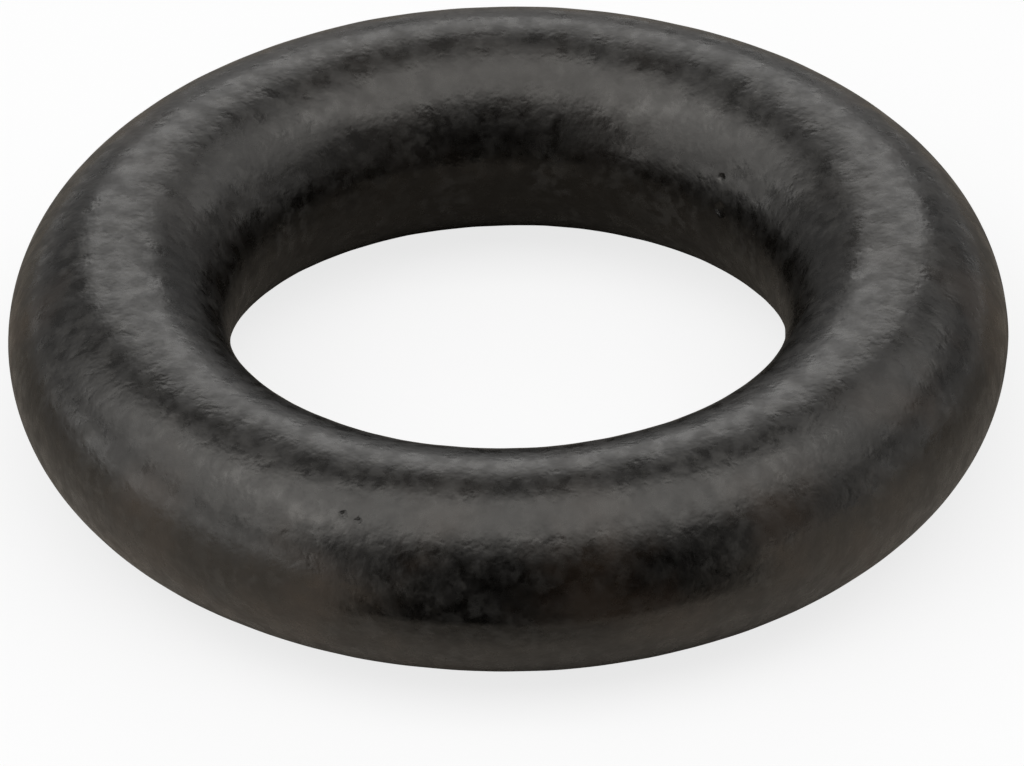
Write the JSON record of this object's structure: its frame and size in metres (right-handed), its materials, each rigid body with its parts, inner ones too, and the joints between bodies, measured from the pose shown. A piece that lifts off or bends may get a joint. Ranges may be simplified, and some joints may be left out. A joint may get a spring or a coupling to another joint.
{
  "type": "sealing ring",
  "caption": "Round rubber sealing ring with a round section, squeezed between a shaft and its housing to seal them.",
  "frame": {"origin": "centre of the ring: on the axis of its hole, half way up its section", "axes": "+Z along the axis of the hole; the ring lies flat in the XY plane, and X and Y are alike"},
  "size_m": [0.018, 0.018, 0.004],
  "materials": {
    "rubber": "satin black moulded rubber with a faint grey and brown bloom"
  },
  "bodies": {
    "root": {"sealing_ring": "rubber"}
  },
  "joints": []
}
